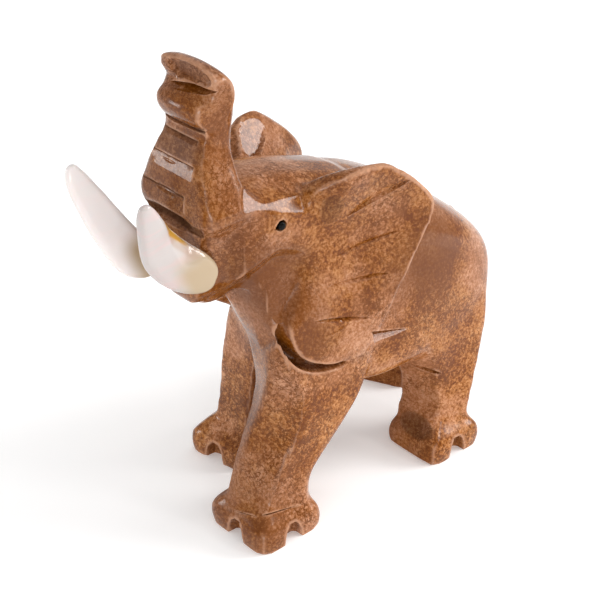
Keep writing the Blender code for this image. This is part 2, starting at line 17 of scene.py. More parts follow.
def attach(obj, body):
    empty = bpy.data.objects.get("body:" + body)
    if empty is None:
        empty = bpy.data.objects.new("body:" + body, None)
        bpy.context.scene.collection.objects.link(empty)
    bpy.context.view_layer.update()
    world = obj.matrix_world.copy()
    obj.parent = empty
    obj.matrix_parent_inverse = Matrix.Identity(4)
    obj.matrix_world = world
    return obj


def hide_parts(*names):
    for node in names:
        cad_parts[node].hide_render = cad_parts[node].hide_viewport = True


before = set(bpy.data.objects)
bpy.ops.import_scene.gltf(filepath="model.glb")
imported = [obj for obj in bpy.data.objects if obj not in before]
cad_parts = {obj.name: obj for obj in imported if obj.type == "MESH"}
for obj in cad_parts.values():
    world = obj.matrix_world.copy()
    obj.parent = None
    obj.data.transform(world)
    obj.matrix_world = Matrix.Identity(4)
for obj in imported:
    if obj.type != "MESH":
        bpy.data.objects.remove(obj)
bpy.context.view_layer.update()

scene = bpy.context.scene
MM = 0.001

# Camera
# A long lens a third of a metre away, in front of the elephant's left shoulder and well above it, which is
# where the photograph was taken from.
CAMERA_TARGET = Vector((1.812, -2.282, 45.371)) * MM
CAMERA_AZIMUTH, CAMERA_ELEVATION = math.radians(48.0), math.radians(31.0)
CAMERA_DISTANCE = 332.72 * MM
LENS_MM, SENSOR_MM = 90.0, 36.0

towards_camera = Vector((
    math.sin(CAMERA_AZIMUTH) * math.cos(CAMERA_ELEVATION),
    -math.cos(CAMERA_AZIMUTH) * math.cos(CAMERA_ELEVATION),
    math.sin(CAMERA_ELEVATION),
))
lens = bpy.data.cameras.new("camera")
lens.lens, lens.sensor_width = LENS_MM, SENSOR_MM
lens.clip_start, lens.clip_end = 0.01, 20.0
camera = bpy.data.objects.new("camera", lens)
camera.location = CAMERA_TARGET + towards_camera * CAMERA_DISTANCE
camera.rotation_mode = "QUATERNION"
camera.rotation_quaternion = towards_camera.to_track_quat("Z", "Y")
scene.collection.objects.link(camera)
scene.camera = camera
scene.view_settings.view_transform = "Standard"

# Studio
# A matt white sheet on the table, four softboxes and a large overhead diffuser, with white walls all round.
FLOOR_RADIUS = 3.0
FLOOR_SIDES = 64
FLOOR_GLOW = 0.20      # light that the sheet passes on, so that it stays pale away from the lamps
FLOOR_GLOSS = 0.1
WALL_GLOW = 0.56       # light from the white walls


class Flow:
    """A socket of a shader tree. Sums on it add the nodes that work them out."""

    def __init__(self, tree, socket=None):
        self.tree, self.socket = tree, socket

    def node(self, kind, settings=None, sockets=None, output=0):
        """Any other node: its type, its settings, then the values or links of its sockets."""
        made = self.tree.nodes.new("ShaderNode" + kind)
        for name, value in (settings or {}).items():
            if name == "stops":
                ramp = made.color_ramp
                while len(ramp.elements) < len(value):
                    ramp.elements.new(0.5)
                for element, (place, colour) in zip(ramp.elements, value):
                    element.position, element.color = place, (*colour, 1.0)
            else:
                setattr(made, name, value)
        for name, value in (sockets or {}).items():
            if isinstance(value, Flow):
                self.tree.links.new(value.socket, made.inputs[name])
            else:
                made.inputs[name].default_value = value
        return Flow(self.tree, made.outputs[output] if made.outputs else None)

    def sum(self, operation, a, b=0.0):
        return self.node("Math", {"operation": operation}, {0: a, 1: b})

    def __add__(self, other):
        return self.sum("ADD", self, other)

    __radd__ = __add__

    def __mul__(self, other):
        return self.sum("MULTIPLY", self, other)

    __rmul__ = __mul__

    def __sub__(self, other):
        return self.sum("SUBTRACT", self, other)

    def __rsub__(self, other):
        return self.sum("SUBTRACT", other, self)

    def __abs__(self):
        return self.sum("ABSOLUTE", self)

    def step(self, low, high):
        """0 below low and 1 above high, or the other way round, with a soft change between."""
        return self.node(
            "MapRange", {"interpolation_type": "SMOOTHSTEP"},
            {"Value": self, "From Min": low, "From Max": high},
        )

    def mix(self, one, other):
        """One colour where this share is 0, the other where it is 1."""
        return self.node("Mix", {"data_type": "RGBA"}, {0: self, 6: one, 7: other}, output=2)

    def blend(self, other, share):
        """This colour where share is 0, the other where it is 1."""
        return self.node("Mix", {"data_type": "RGBA"}, {0: share, 6: self, 7: other}, output=2)

    def relief(self):
        """A surface that stands this many millimetres high to the light alone."""
        return self.node("Bump", None, {"Strength": 1.0, "Distance": MM, "Height": self})

    def kept(self, name):
        """The number of this name that is kept at the mesh's vertices."""
        return self.node("Attribute", {"attribute_name": name}, output=2)

    def part(self, axis):
        """One of the three parts of a place."""
        return self.node("SeparateXYZ", None, {0: self}, output="XYZ".index(axis))

    def moved(self, by):
        return self.node("VectorMath", {"operation": "ADD"}, {0: self, 1: by})

    def scaled(self, by):
        return self.node("VectorMath", {"operation": "SCALE"}, {0: self, "Scale": by})

    def noise(self, size, detail=2.0, rough=0.5, output=0):
        """Cloudy noise whose blobs are about size across."""
        return self.node(
            "TexNoise", None,
            {"Vector": self, "Scale": 1.0 / size, "Detail": detail, "Roughness": rough}, output,
        )

    def shaken(self, size, reach, detail=2.0):
        """The same places pushed about by up to half of reach, in blobs of that size."""
        push = self.noise(size, detail, output=1).moved((-0.5, -0.5, -0.5))
        return self.moved(push.scaled(reach))


def new_finish(name):
    """An empty finish, its shader and the surface's own places in millimetres."""
    made = bpy.data.materials.new(name)
    made.use_nodes = True
    tree = made.node_tree
    shader = tree.nodes["Principled BSDF"]
    places = Flow(tree).node("TexCoord", output=3).scaled(1.0 / MM)
    return made, tree, shader, places


def feed(tree, shader, **sockets):
    """Gives the shader's sockets their values or links, by name, with _ for a space."""
    for name, value in sockets.items():
        target = shader.inputs[name.replace("_", " ")]
        if isinstance(value, Flow):
            tree.links.new(value.socket, target)
        else:
            target.default_value = value


def link_mesh(name, bm, surface):
    """A new piece of the scene, with its finish."""
    mesh = bpy.data.meshes.new(name)
    bm.to_mesh(mesh)
    bm.free()
    mesh.materials.append(surface)
    made = bpy.data.objects.new(name, mesh)
    scene.collection.objects.link(made)
    return made


paper, tree, shader, at = new_finish("matt_white_sheet")
fibre = at.noise(60.0, 2.0)
white = fibre.mix((0.93, 0.93, 0.93, 1.0), (0.95, 0.95, 0.95, 1.0))
feed(tree, shader, Base_Color=white, Roughness=0.9)
shader.inputs["Specular IOR Level"].default_value = FLOOR_GLOSS
shader.inputs["Emission Color"].default_value = (1.0, 1.0, 1.0, 1.0)
shader.inputs["Emission Strength"].default_value = FLOOR_GLOW

bm = bmesh.new()
bmesh.ops.create_circle(bm, cap_ends=True, segments=FLOOR_SIDES, radius=FLOOR_RADIUS)
floor = link_mesh("studio_floor", bm, paper)

LIGHTS = [  # name, way from the elephant, distance, width, height, watts
    ("overhead_diffuser", (0.10, 0.22, 1.0), 1.50, 1.60, 1.60, 7.9),
    ("left_softbox", (-0.690, -0.703, 0.169), 0.68, 0.13, 0.13, 0.52),
    ("right_softbox", (0.497, 0.766, 0.40), 0.80, 0.34, 0.32, 4.1),
    ("small_softbox", (0.682, 0.407, 0.607), 0.90, 0.12, 0.12, 0.72),
    ("front_fill", (0.85, -0.85, 0.14), 1.20, 0.70, 0.28, 4.9),
]
for name, way, distance, wide, high, watts in LIGHTS:
    lamp = bpy.data.lights.new(name, "AREA")
    lamp.shape = "RECTANGLE"
    lamp.size, lamp.size_y, lamp.energy = wide, high, watts
    holder = bpy.data.objects.new(name, lamp)
    way = Vector(way).normalized()
    holder.location = CAMERA_TARGET + way * distance
    holder.rotation_mode = "QUATERNION"
    holder.rotation_quaternion = way.to_track_quat("Z", "Y")
    scene.collection.objects.link(holder)

walls = bpy.data.worlds.new("white_walls")
walls.use_nodes = True
sky = walls.node_tree.nodes["Background"]
sky.inputs["Color"].default_value = (1.0, 1.0, 1.0, 1.0)
sky.inputs["Strength"].default_value = WALL_GLOW
scene.world = walls

# Elephant
# One block of brown and pink marble: sawn, ground with discs to flat facets, filed between the legs and
# polished everywhere a buffing wheel reaches.
BODY_GRAIN = 0.57 * MM     # size of the cells of the fine skin
LONGEST_EDGE = 1.4 * MM    # of the faces that a cut leaves
FLATTEN_ROUNDS = 30        # how often the facets' directions are evened out
FIT_ROUNDS = 14            # how often the skin is then drawn on to them
FACET_TURN = 0.15          # facets that differ by more than this stay apart at an arris
ON_SKIN = 0.01 * MM        # a face that is no further from the skin than this wasn't cut
RIM_ANGLE, CUT_ANGLE, SKIN_ANGLE = 7.0, 18.0, 40.0   # edges sharper than this in degrees look crisp
WELD, AXIS_WELD = 1e-6, 1e-7   # corners nearer than this are one
TINY = 1e-20               # keeps a length or an area that is nothing from dividing

# Grooves ground with the bevelled edge of a disc. Start and end are y and z on the side of the left ear,
# then come the disc's radius, half its thickness and how far it leans back and up.
EAR_CUTS = [
    ((-3.2, 72.4), (9.6, 78.7), 22.0, 3.6, (-0.25, 0.10)),
    ((-4.9, 63.2), (9.7, 65.7), 24.0, 3.6, (-0.25, 0.15)),
    ((-8.2, 57.3), (7.1, 56.6), 26.0, 3.6, (-0.25, 0.20)),
    ((-12.6, 51.3), (1.8, 47.5), 28.0, 3.2, (-0.25, 0.15)),
    ((-8.9, 46.9), (-3.2, 47.8), 12.0, 1.8, (-0.25, 0.30)),
]
EAR_SHIFTS = {  # 1 for the left ear, -1 for the right one: what is added to y, what to z, and share of z
    1: (0.0, 0.0, 1.0),
    -1: (-1.6, 4.2, 0.94),
}
FLANK_NOTCH = (  # start and end of its deepest line, way its upper wall runs out, way its lower wall faces
    (16.86, 5.59, 40.82), (19.86, 14.92, 39.27), (0.588, -0.61, 0.531), (0.730, -0.124, 0.668),
)
NOTCH_REACH = 7.0          # from its deepest line to well clear of the stone
BESIDE_X = 60.0            # well clear of either side
MIDDLE_X = 1.8             # where the figure's own middle plane lies
DISC_EDGE = 0.86           # where a disc's bevel starts, as a share of its radius
DISC_TEETH = 120           # facets round a disc

# Grooves filed across the trunk: z and y of the bottom, rise above and drop below it for each mm outwards,
# where it ends on the left, and how far above and below the bottom the groove is darkened with painted shade.
TRUNK_CUTS = [
    (97.3, -31.9, 0.50, 0.95, 9.0, 0.9, 0.3),
    (94.9, -32.5, 0.60, 1.20, 6.5, 0.2, 0.1),
    (90.3, -34.4, 0.60, 2.25, 7.5, 0.2, 0.1),
    (83.4, -35.6, 1.80, 4.00, 5.5, 0.6, 0.1),
    (76.9, -35.6, 2.30, 1.50, 10.5, 1.9, 0.2),
]
TRUNK_RIGHT_X = -12.0      # to the right of the trunk
TRUNK_CLEAR_Y = -37.3      # in front of the trunk

# Cuts with a disc: start, end, way out, radius, half thickness. One is under the trunk's lip, two go round
# the collar of the left fore foot and one is on the left hind leg.
LIP_CUT = ((-2.5, -31.8, 104.5), (9.5, -29.9, 105.6), (0.25, -1.0, -0.1), 14.0, 0.7)
LEG_CUTS = [
    ((11.6, -29.8, 6.45), (17.4, -28.7, 7.7), (0.2, -0.8, 0.55), 40.0, 1.6),
    ((17.9, -28.2, 8.2), (20.2, -18.6, 7.5), (0.85, -0.3, 0.45), 60.0, 1.6),
    ((14.8, 20.6, 24.6), (19.4, 26.6, 21.6), (0.75, -0.65, -0.1), 14.0, 1.1),
]

# Hollows that the buff doesn't reach, left dull and darkened with painted shade: middle, half sizes along x,
# y and z, share and the way that they face.
PAINTED_SHADE_HOLLOWS = [
    ((16.5, 21.5, 7.6), (6.0, 3.0, 3.4), 0.75, (0.0, -1.0, 0.0)),
    ((2.9, -31.1, 107.7), (6.4, 2.5, 2.0), 0.35, (0.0, -1.0, 0.0)),
    ((17.0, -7.0, 75.5), (3.0, 3.0, 4.5), 0.45, (0.7, -0.7, 0.0)),
    ((1.0, -33.8, 92.9), (14.0, 3.0, 2.6), 0.35, (0.0, -1.0, 0.0)),
]
HOLLOW_RIM = 0.75          # from here to 1 a hollow's painted shade runs out
SHADE_BLUR = 0.1           # how softly a band of painted shade ends
FRONT_Y = -30.0            # the bands of painted shade are in front of this
BAND_FACES, HOLLOW_FACES = (0.2, 0.5), (0.3, 0.6)   # how far a surface with painted shade has to face its way
OVAL_RIM = 0.86            # from here to 1 a ground oval runs out into the skin round it
OVAL_TOP = (3.0, 4.0)      # stone that stands higher than this over an oval belongs to another part
FACETS = [  # middle, way it faces, depth, longer way along it, half its length, half its width
    ((13.6, -19.8, 78.9), (0.797, 0.14, 0.587), 0.0, (0.0, 1.0, 0.0), 9.0, 9.0),
    ((9.2, -29.7, 101.6), (0.968, -0.18, -0.176), 0.0, (0.0, 0.0, 1.0), 5.6, 5.6),
    ((8.0, -21.5, 51.8), (0.113, -0.972, -0.205), 0.0, (0.0, 0.0, 1.0), 8.0, 8.0),
    ((-12.6, -2.9, 81.2), (0.817, 0.119, 0.564), 0.95, (0.63, -0.71, -0.31), 7.6, 3.4),
    ((2.9, -31.1, 107.7), (0.0, -0.985, -0.17), 0.35, (1.0, 0.0, -0.03), 6.6, 2.0),
]

# Where the file's marks are left, and where painted shade darkens the stone: on the inner sides of the legs
# and the fronts of the hind ones, below a soft level, and on the belly. The last line says how far a surface
# has to be turned that way.
RAW_BELOW_Z = (27.0, 33.0)
HIND_Y = 8.0
BELLY_Z = 45.0
TURNED_IN, TURNED_TO_FRONT, TURNED_DOWN = (0.35, 0.75), (0.55, 0.85), (0.5, 0.9)

# Sizes of the stone's pattern in millimetres, where it is browner, how rough the polished stone is, and what
# raw stone and the dull hollows with painted shade add to that.
CLOUD_SIZE, CROWD_SIZE, COARSE_SIZE, GRAIN_SIZE = 17.0, 13.0, 9.0, 0.70
WEB_SIZE, SQUIGGLE_SIZE, BLOT_SIZE, SPECK_SIZE = 2.6, 1.7, 1.3, 0.45
HEAD_FROM_Y = (-12.0, -30.0)   # not yet head, all head
BODY_FROM_Z = (28.0, 44.0)     # still leg, all body
POLISH, RAW_STONE, SHADED_HOLLOW_ROUGHNESS = 0.13, 0.60, 0.75
STONE_GLOSS = 0.27
PAINTED_SHADE_PATCHES = [  # middle, how far it reaches, share: painted shade on the cheek, under the ear and behind it
    ((12.0, -21.0, 61.0), 15.0, 0.75),
    ((14.0, -13.0, 48.0), 11.0, 0.60),
    ((19.4, 20.0, 56.0), 17.0, 0.75),
]


def copy_of(node, name):
    """A welded copy of a CAD node."""
    bm = bmesh.new()
    bm.from_mesh(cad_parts[node].data)
    bmesh.ops.remove_doubles(bm, verts=bm.verts, dist=WELD)
    bmesh.ops.recalc_face_normals(bm, faces=bm.faces)
    mesh = bpy.data.meshes.new(name)
    bm.to_mesh(mesh)
    bm.free()
    made = bpy.data.objects.new(name, mesh)
    scene.collection.objects.link(made)
    return made


def dress(piece, surface):
    """Gives the piece its finish, rounded to the light except at its crisp edges."""
    piece.data.materials.append(surface)
    for face in piece.data.polygons:
        face.use_smooth = True


def apply_modifiers(piece):
    """Makes what the modifiers give the piece's own mesh."""
    graph = bpy.context.evaluated_depsgraph_get()
    graph.update()
    mesh = bpy.data.meshes.new_from_object(piece.evaluated_get(graph))
    old = piece.data
    piece.modifiers.clear()
    piece.data = mesh
    bpy.data.meshes.remove(old)
    mesh.name = piece.name


def reskin(piece, grain):
    """Even cells of one size all over, in triangles."""
    skin = piece.modifiers.new("skin", "REMESH")
    skin.mode = "VOXEL"
    skin.voxel_size = grain
    split = piece.modifiers.new("split", "TRIANGULATE")
    split.quad_method = "SHORTEST_DIAGONAL"
    apply_modifiers(piece)


def smoothstep(values, low, high):
    """0 below low and 1 above high, with a soft change between."""
    share = np.clip((values - low) / (high - low), 0.0, 1.0)
    return share * share * (3.0 - 2.0 * share)


class Skin:
    """A piece's triangles as arrays, for the even strokes that work on all of them at once."""

    def __init__(self, piece):
        self.mesh = piece.data
        count = len(self.mesh.vertices)
        self.places = np.empty(count * 3)
        self.mesh.vertices.foreach_get("co", self.places)
        self.places = self.places.reshape(-1, 3)
        corners = np.empty(len(self.mesh.loops), int)
        self.mesh.loops.foreach_get("vertex_index", corners)
        self.corners = corners.reshape(-1, 3)
        sides = [self.corners[:, pair] for pair in ([0, 1], [1, 2], [2, 0])]
        edges = np.sort(np.concatenate(sides), 1)
        owner = np.tile(np.arange(len(self.corners)), 3)
        order = np.lexsort((edges[:, 1], edges[:, 0]))
        edges, owner = edges[order], owner[order]
        same = np.all(edges[1:] == edges[:-1], 1)
        self.edges = edges[:-1][same]
        self.pairs = np.stack([owner[:-1][same], owner[1:][same]], 1)

    def spread(self, index, values, count):
        """Sums of the rows of values that have the same index."""
        return np.stack([np.bincount(index, values[:, k], count) for k in range(values.shape[1])], 1)

    def facets(self):
        """Middle, direction and area of every triangle."""
        a, b, c = (self.places[self.corners[:, k]] for k in range(3))
        cross = np.cross(b - a, c - a)
        size = np.linalg.norm(cross, axis=1, keepdims=True)
        return (a + b + c) / 3, cross / np.maximum(size, TINY), size / 2

    def directions(self):
        """Direction of the surface at every vertex."""
        _, ways, areas = self.facets()
        total = sum(self.spread(self.corners[:, k], ways * areas, len(self.places)) for k in range(3))
        return total / np.maximum(np.linalg.norm(total, axis=1, keepdims=True), TINY)

    def flatten(self, turn, rounds, fit_rounds):
        """Evens out the facets, and keeps an arris wherever two of them meet at more than a slight turn."""
        middles, ways, areas = self.facets()
        count = len(ways)
        one, two = self.pairs.T
        gap = np.linalg.norm(middles[one] - middles[two], axis=1)
        near = np.exp(-0.5 * (gap / gap.mean()) ** 2)
        for _ in range(rounds):
            unlike = np.linalg.norm(ways[one] - ways[two], axis=1)
            share = (near * np.exp(-0.5 * (unlike / turn) ** 2))[:, None]
            drawn = ways * areas * 0.5
            drawn += self.spread(one, ways[two] * areas[two] * share, count)
            drawn += self.spread(two, ways[one] * areas[one] * share, count)
            ways = drawn / np.maximum(np.linalg.norm(drawn, axis=1, keepdims=True), TINY)
        touching = np.bincount(self.corners.ravel(), minlength=len(self.places))[:, None]
        for _ in range(fit_rounds):
            middles = self.places[self.corners].mean(1)
            move = np.zeros_like(self.places)
            for k in range(3):
                index = self.corners[:, k]
                off = np.sum(ways * (middles - self.places[index]), 1, keepdims=True)
                move += self.spread(index, ways * off, len(self.places))
            self.places += move / touching

    def grind(self, middle, way, depth, along, long, wide):
        """Grinds an oval down to a plane that lies at this depth under its middle."""
        way, along = (np.array(v) / np.linalg.norm(v) for v in (way, along))
        beside = np.cross(way, along)
        off = self.places / MM - np.array(middle)
        height = off @ way + depth
        oval = np.hypot(off @ along / long, off @ beside / wide)
        share = 1.0 - smoothstep(oval, OVAL_RIM, 1.0)
        share = share * (1.0 - smoothstep(height, *OVAL_TOP)) * (height > -0.1)
        self.places -= (np.maximum(height, 0.0) * share * MM)[:, None] * way

    def neighbours_mean(self, values, rounds):
        """The values at the vertices, evened out along the edges."""
        a, b = self.edges.T
        degree = np.bincount(a, minlength=len(values)) + np.bincount(b, minlength=len(values))
        for _ in range(rounds):
            total = np.bincount(a, values[b], len(values)) + np.bincount(b, values[a], len(values))
            values = 0.5 * values + 0.5 * total / np.maximum(degree, 1)
        return values

    def arrises(self):
        """How far each vertex lies on an outward edge, above 0, or in an inward one, below 0."""
        middles, ways, _ = self.facets()
        one, two = self.pairs.T
        turn = np.linalg.norm(ways[one] - ways[two], axis=1)
        out = np.sign(np.sum((middles[two] - middles[one]) * (ways[two] - ways[one]), 1))
        bend = turn * out
        a, b = self.edges.T
        total = np.bincount(a, bend, len(self.places)) + np.bincount(b, bend, len(self.places))
        return self.neighbours_mean(total, 2)

    def keep(self):
        """Writes the moved vertices back to the mesh."""
        self.mesh.vertices.foreach_set("co", self.places.ravel())
        self.mesh.update()

    def paint(self, name, values):
        """Keeps a number at every vertex, which a finish can read by its name."""
        layer = self.mesh.attributes.new(name, "FLOAT", "POINT")
        layer.data.foreach_set("value", np.ascontiguousarray(values, dtype=np.float32))


def mark_done(bm):
    """Marks what a cutter holds so far, so that the next shape is turned without it."""
    for vert in bm.verts:
        vert.tag = True


def lathe(bm, profile, middle, axis):
    """A closed turned shape: radius and height along the axis, from one end of the axis to the other."""
    verts = [bm.verts.new((reach * MM, 0.0, level * MM)) for reach, level in profile]
    edges = [bm.edges.new(pair) for pair in zip(verts, verts[1:])]
    bmesh.ops.spin(
        bm, geom=verts + edges, cent=(0, 0, 0), axis=(0, 0, 1), angle=2 * math.pi, steps=DISC_TEETH,
        use_merge=True,
    )
    turned = [vert for vert in bm.verts if not vert.tag]
    turn = Vector(axis).to_track_quat("Z", "Y").to_matrix().to_4x4()
    bmesh.ops.transform(bm, matrix=Matrix.Translation(Vector(middle) * MM) @ turn, verts=turned)
    bmesh.ops.remove_doubles(bm, verts=turned, dist=AXIS_WELD)
    mark_done(bm)


def disc(bm, start, end, outward, radius, half):
    """A double-bevelled grinding disc whose edge enters at start and leaves at end."""
    start, end = Vector(start), Vector(end)
    along = (end - start).normalized()
    outward = (Vector(outward) - along * along.dot(Vector(outward))).normalized()
    rise = math.sqrt(radius ** 2 - ((end - start).length / 2) ** 2)
    middle = (start + end) / 2 + outward * rise
    rim = radius * DISC_EDGE
    profile = [(0.0, -half), (rim, -half), (radius, 0.0), (rim, half), (0.0, half)]
    lathe(bm, profile, middle, along.cross(outward))


def wedge(bm, outline, x_low, x_high):
    """A straight bar across the figure from an outline of y and z."""
    end = bm.faces.new([bm.verts.new(Vector((x_low, y, z)) * MM) for y, z in outline])
    drawn = bmesh.ops.extrude_face_region(bm, geom=[end])["geom"]
    far = [item for item in drawn if isinstance(item, bmesh.types.BMVert)]
    bmesh.ops.translate(bm, verts=far, vec=Vector((x_high - x_low, 0.0, 0.0)) * MM)
    mark_done(bm)


def cut(piece, bm):
    """Takes the cutter away from the piece, with clean edges."""
    bmesh.ops.recalc_face_normals(bm, faces=bm.faces)
    mesh = bpy.data.meshes.new("cutter")
    bm.to_mesh(mesh)
    bm.free()
    cutter = bpy.data.objects.new("cutter", mesh)
    scene.collection.objects.link(cutter)
    taken = piece.modifiers.new("cut", "BOOLEAN")
    taken.operation, taken.solver, taken.object = "DIFFERENCE", "EXACT", cutter
    taken.use_self = False
    apply_modifiers(piece)
    bpy.data.objects.remove(cutter)


def split_long_edges(piece):
    """Divides the large faces of the cuts, so that a number kept at their corners changes in a short way."""
    bm = bmesh.new()
    bm.from_mesh(piece.data)
    bmesh.ops.triangulate(bm, faces=bm.faces)
    while long := [edge for edge in bm.edges if edge.calc_length() > LONGEST_EDGE]:
        for edge in sorted(long, key=lambda edge: -edge.calc_length()):
            ends, faces = list(edge.verts), list(edge.link_faces)
            corners = [next(vert for vert in face.verts if vert not in ends) for face in faces]
            middle = bmesh.utils.edge_split(edge, ends[0], 0.5)[1]
            for face, corner in zip(faces, corners):
                bmesh.utils.face_split(face, middle, corner)
    bm.to_mesh(piece.data)
    bm.free()


elephant = copy_of("marble_elephant", "carved_elephant")
reskin(elephant, BODY_GRAIN)
skin = Skin(elephant)
skin.flatten(FACET_TURN, FLATTEN_ROUNDS, FIT_ROUNDS)
for facet in FACETS:
    skin.grind(*facet)
skin.keep()

shape = bmesh.new()
shape.from_mesh(elephant.data)
surface = BVHTree.FromBMesh(shape)
shape.free()


def touch(start, way):
    """Where a ray first meets the marble, in millimetres."""
    hit, *_ = surface.ray_cast(Vector(start) * MM, Vector(way))
    if hit is None:
        raise ValueError(f"no marble from {tuple(start)} towards {tuple(way)}")
    return hit / MM


def keep_crisp(piece):
    """Marks the edges where a cut face meets another one at an angle, so that both stay flat to the light."""
    bm = bmesh.new()
    bm.from_mesh(piece.data)
    for face in bm.faces:
        face.tag = surface.find_nearest(face.calc_center_median())[3] > ON_SKIN
    for edge in bm.edges:
        one, two = edge.link_faces
        limit = RIM_ANGLE if one.tag != two.tag else CUT_ANGLE if one.tag else SKIN_ANGLE
        edge.smooth = edge.calc_face_angle(0.0) < math.radians(limit)
    bm.to_mesh(piece.data)
    bm.free()


def side_cuts(bm, side, cuts, shift):
    """Disc cuts across the side, +1 for the left, from and to the places where level rays meet it."""
    shift_y, shift_z, share = shift
    for first, last, radius, half, lean in cuts:
        start, end = (
            touch((side * BESIDE_X, y + shift_y, z * share + shift_z), (-side, 0.0, 0.0))
            for y, z in (first, last)
        )
        disc(bm, start, end, (side, *lean), radius, half)


def notch(bm, side, start, end, out, facing):
    """A chip ground out of one side along a line, between two flat walls."""
    start, end, out, facing = (Vector(item) for item in (start, end, out, facing))
    down = facing.cross(end - start).normalized()
    down *= -1.0 if down.z > 0.0 else 1.0
    triangles = []
    for place in (start, end):
        corners = place, place + out * NOTCH_REACH, place + down * NOTCH_REACH
        triangles.append([
            bm.verts.new(Vector((MIDDLE_X + (spot.x - MIDDLE_X) * side, spot.y, spot.z)) * MM)
            for spot in corners
        ])
    near, far = triangles
    bm.faces.new(near)
    bm.faces.new(far)
    for k in range(3):
        after = (k + 1) % 3
        bm.faces.new((near[k], near[after], far[after], far[k]))
    mark_done(bm)


def across(bm, z, y, above, below, left_end, *_):
    """A groove filed across the front of the trunk."""
    out = y - TRUNK_CLEAR_Y
    outline = [(y, z), (y - out, z + out * above), (y - out, z - out * below)]
    wedge(bm, outline, TRUNK_RIGHT_X, left_end)


# Grooves that run into each other are cut in two turns, so that each turn's cutters stay apart.
grooves = bmesh.new()
for side in (1, -1):
    side_cuts(grooves, side, EAR_CUTS, EAR_SHIFTS[side])
for groove in TRUNK_CUTS[0::2]:
    across(grooves, *groove)
for leg_cut in LEG_CUTS:
    disc(grooves, *leg_cut)
cut(elephant, grooves)
grooves = bmesh.new()
for side in (1, -1):
    notch(grooves, side, *FLANK_NOTCH)
for groove in TRUNK_CUTS[1::2]:
    across(grooves, *groove)
disc(grooves, *LIP_CUT)
cut(elephant, grooves)
split_long_edges(elephant)
keep_crisp(elephant)
skin = Skin(elephant)
skin.places[:, 2] = np.maximum(skin.places[:, 2], 0.0)

ways = skin.directions()
x, y, z = (skin.places / MM).T
stain = np.zeros(len(z))
# Painted shade in a band round the bottom of each groove across the trunk, on the faces that look forward.
for level, _, _, _, left_end, up, down in TRUNK_CUTS:
    low, high = level - down, level + up
    band = smoothstep(z, low - 2 * SHADE_BLUR, low)
    band = band * (1.0 - smoothstep(z, high - SHADE_BLUR, high + SHADE_BLUR))
    front = (y < FRONT_Y) * (x < left_end + SHADE_BLUR) * smoothstep(-ways[:, 1], *BAND_FACES)
    stain = np.maximum(stain, band * front)
# Painted shade in the hollows listed above.
for middle, reach, share, way in PAINTED_SHADE_HOLLOWS:
    off = np.linalg.norm((skin.places / MM - np.array(middle)) / np.array(reach), axis=1)
    facing = smoothstep(ways @ np.array(way), *HOLLOW_FACES)
    stain = np.maximum(stain, share * (1.0 - smoothstep(off, HOLLOW_RIM, 1.0)) * facing)
skin.paint("stain", stain)
# Unpolished stone with file marks, also darkened with painted shade: low inner and hind-front faces, and the
# underside.
low_down = 1.0 - smoothstep(z, *RAW_BELOW_Z)
side = np.sign(x - MIDDLE_X)
inward = smoothstep(-ways[:, 0] * side, *TURNED_IN)
hind_front = smoothstep(-ways[:, 1], *TURNED_TO_FRONT) * (y > HIND_Y)
under = smoothstep(-ways[:, 2], *TURNED_DOWN) * (z < BELLY_Z)
unpolished = np.maximum(np.maximum(inward, hind_front) * low_down, under)
skin.paint("unpolished", np.clip(unpolished, 0.0, 1.0))
skin.paint("arris", skin.arrises())
skin.keep()

marble, tree, shader, at = new_finish("brown_marble")
flow = Flow(tree)
arris, raw_and_painted_shade, stain = flow.kept("arris"), flow.kept("unpolished"), flow.kept("stain")

drift = at.shaken(9.0, 8.0)
bent = drift.shaken(2.2, 1.6)
cloud = bent.noise(CLOUD_SIZE, 4.0, 0.55)
crowd = bent.moved((5.0, 50.0, 20.0)).noise(CROWD_SIZE, 4.0, 0.6).step(0.42, 0.60)
coarse = at.moved((17.0, 3.0, 8.0)).shaken(4.0, 3.5).noise(COARSE_SIZE, 3.0, 0.5)
mottle = at.shaken(0.9, 0.7).noise(GRAIN_SIZE, 4.0, 0.75) * 1.22 + coarse * 0.60 - 0.41
# Dark brown of the veins, also used for painted shade.
vein_and_shade_brown = (0.130, 0.034, 0.002, 1.0)
# Light pink for a painted highlight along the outward edges.
painted_edge_highlight = (0.560, 0.300, 0.180, 1.0)
# Near-black brown for the painted shade in the grooves and hollows.
painted_shade_brown = (0.040, 0.014, 0.005, 1.0)
colour = flow.node("ValToRGB", {"stops": [
    (0.36, (0.120, 0.026, 0.001)), (0.45, (0.225, 0.064, 0.005)), (0.52, (0.325, 0.112, 0.022)),
    (0.59, (0.410, 0.160, 0.045)), (0.70, (0.530, 0.245, 0.090)),
]}, {0: mottle})
rosy = flow.node("ValToRGB", {"stops": [
    (0.36, (0.270, 0.095, 0.028)), (0.46, (0.385, 0.152, 0.060)), (0.55, (0.470, 0.208, 0.100)),
    (0.68, (0.590, 0.300, 0.170)),
]}, {0: mottle})
colour = colour.blend(rosy, cloud.step(0.45, 0.60))
head = drift.part("Y").step(*HEAD_FROM_Y)
colour = colour.blend(vein_and_shade_brown, head * 0.50)
colour = colour.blend(vein_and_shade_brown, drift.part("Z").step(*BODY_FROM_Z) * (1.0 - head) * 0.20)
# Painted shade on the cheek, under the ear and behind it.
for middle, reach, share in PAINTED_SHADE_PATCHES:
    far = flow.node("VectorMath", {"operation": "DISTANCE"}, {0: at.shaken(6.0, 7.0), 1: middle}, output=1)
    colour = colour.blend(vein_and_shade_brown, far.step(reach, reach * 0.3) * share)

